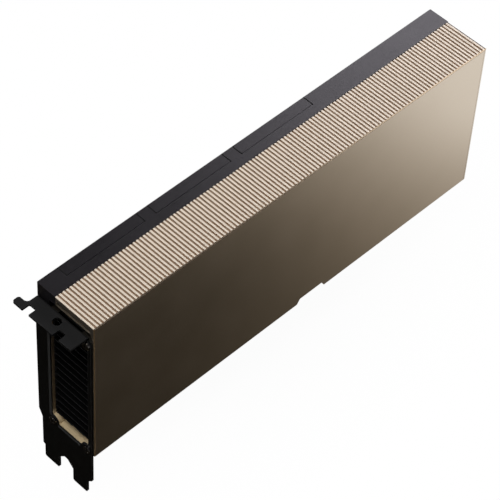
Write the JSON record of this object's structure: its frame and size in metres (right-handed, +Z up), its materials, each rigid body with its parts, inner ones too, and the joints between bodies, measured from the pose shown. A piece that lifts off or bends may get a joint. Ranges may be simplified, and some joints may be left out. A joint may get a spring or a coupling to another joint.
{
  "type": "passive accelerator card",
  "caption": "Two-slot passive accelerator card with a cross-ribbed champagne shroud, black rear cover, air duct through a fin stack, mounting bracket and edge connector.",
  "frame": {"origin": "middle of the key slot on the lower edge of the board's contact tongue, half-way through the board", "axes": "+X from the mounting bracket to the far end with the power socket, +Y from the shroud to the rear cover, +Z up from the contacts to the ribbed top"},
  "size_m": [0.2777, 0.0428, 0.1292],
  "materials": {
    "champagne_shell": "satin champagne anodised",
    "champagne_ring": "satin champagne anodised",
    "black_casting": "fine matt black coat",
    "black_cap": "fine matt black",
    "black_ring": "matt black coat",
    "black_steel": "satin black coat on steel sheet",
    "black_screws": "black oxide",
    "champagne_screws": "champagne coat",
    "steel_screws": "nickel",
    "black_plate": "black anodised",
    "black_fins": "black anodised",
    "copper": "plain copper",
    "grey_paste": "thin grease",
    "silicon": "polished",
    "black_silicon": "polished",
    "green_laminate": "solder mask",
    "nickel_frame": "nickel",
    "board_laminate": "black solder mask",
    "gold": "gold plated",
    "grey_ferrite": "moulded powder",
    "black_package": "moulded resin",
    "soft_pad": "soft filled silicone",
    "capacitor_body": "moulded resin",
    "socket_plastic": "moulded nylon",
    "tinned_pin": "tinned",
    "spring_steel": "plain",
    "film": "black film"
  },
  "bodies": {
    "root": {"shroud": "champagne_shell", "exhaust_collar": "champagne_ring", "rear_cover": "black_casting", "bridge_cover_1": "black_cap", "bridge_cover_2": "black_cap", "bridge_cover_3": "black_cap", "intake_frame": "black_ring", "mounting_bracket": "black_steel", "bracket_screws": "black_screws", "cover_screws": "black_screws", "shroud_screws": "champagne_screws", "cooler_screws": "steel_screws", "cooler_base": "black_plate", "cooling_fins": "black_fins", "vapour_chamber": "copper", "thermal_paste": "grey_paste", "processor_die": "silicon", "memory_stacks": "black_silicon", "package_substrate": "green_laminate", "package_stiffener": "nickel_frame", "circuit_board": "board_laminate", "edge_contacts": "gold", "power_inductors": "grey_ferrite", "power_stages": "black_package", "control_chips": "black_package", "inductor_pads": "soft_pad", "stage_pads": "soft_pad", "output_capacitors": "capacitor_body", "input_capacitors": "capacitor_body", "power_socket": "socket_plastic", "power_pins": "tinned_pin", "spring_plate": "spring_steel", "insulating_film": "film"}
  },
  "joints": []
}
